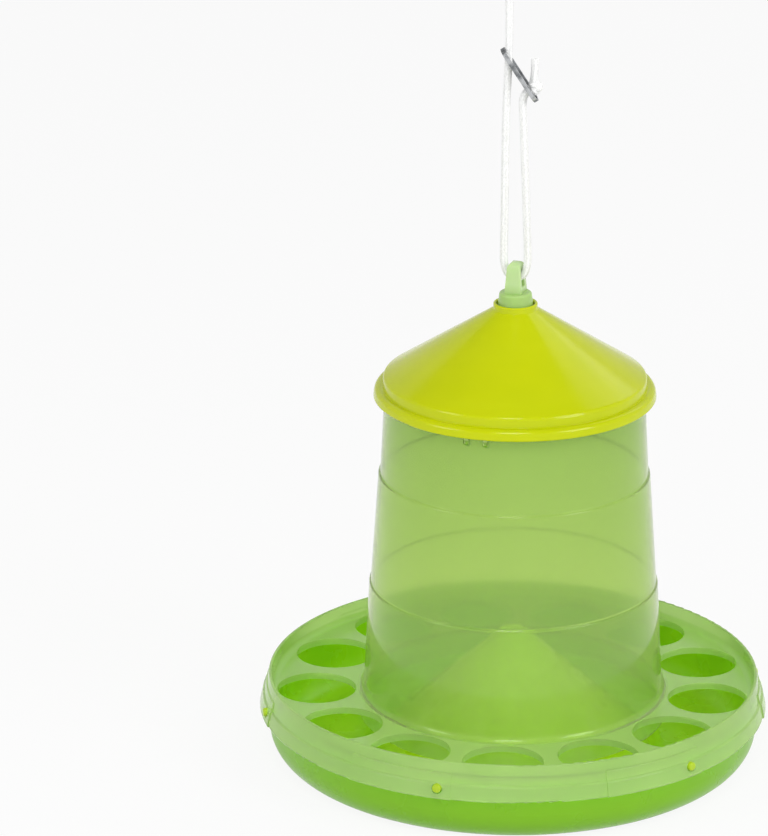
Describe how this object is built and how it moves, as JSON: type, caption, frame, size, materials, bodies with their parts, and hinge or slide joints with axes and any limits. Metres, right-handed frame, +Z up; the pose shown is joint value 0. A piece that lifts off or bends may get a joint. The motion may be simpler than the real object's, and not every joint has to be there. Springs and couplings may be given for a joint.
{
  "type": "poultry hopper feeder",
  "caption": "Hanging round poultry feeder: a green dish, a clear hopper with a ring of feeding holes, a yoke with an eye, a cone lid and a white cord with a metal slide.",
  "frame": {"origin": "centre of the flat base of the dish, on the axis of the feeder", "axes": "+Z up along the axis, -Y the side that faces the viewer, +X the viewer's right"},
  "size_m": [0.2452, 0.244, 0.4062],
  "materials": {
    "green_plastic": "satin",
    "clear_green_plastic": "glossy",
    "lime_plastic": "glossy",
    "cord": "matt",
    "slide_metal": "satin"
  },
  "bodies": {
    "root": {"feed_tray": "green_plastic", "hopper": "clear_green_plastic", "lid": "lime_plastic", "yoke": "clear_green_plastic", "cord_slide": "slide_metal", "hanging_cord": "cord", "slide_knot": "cord", "loop_knot": "cord"}
  },
  "joints": []
}
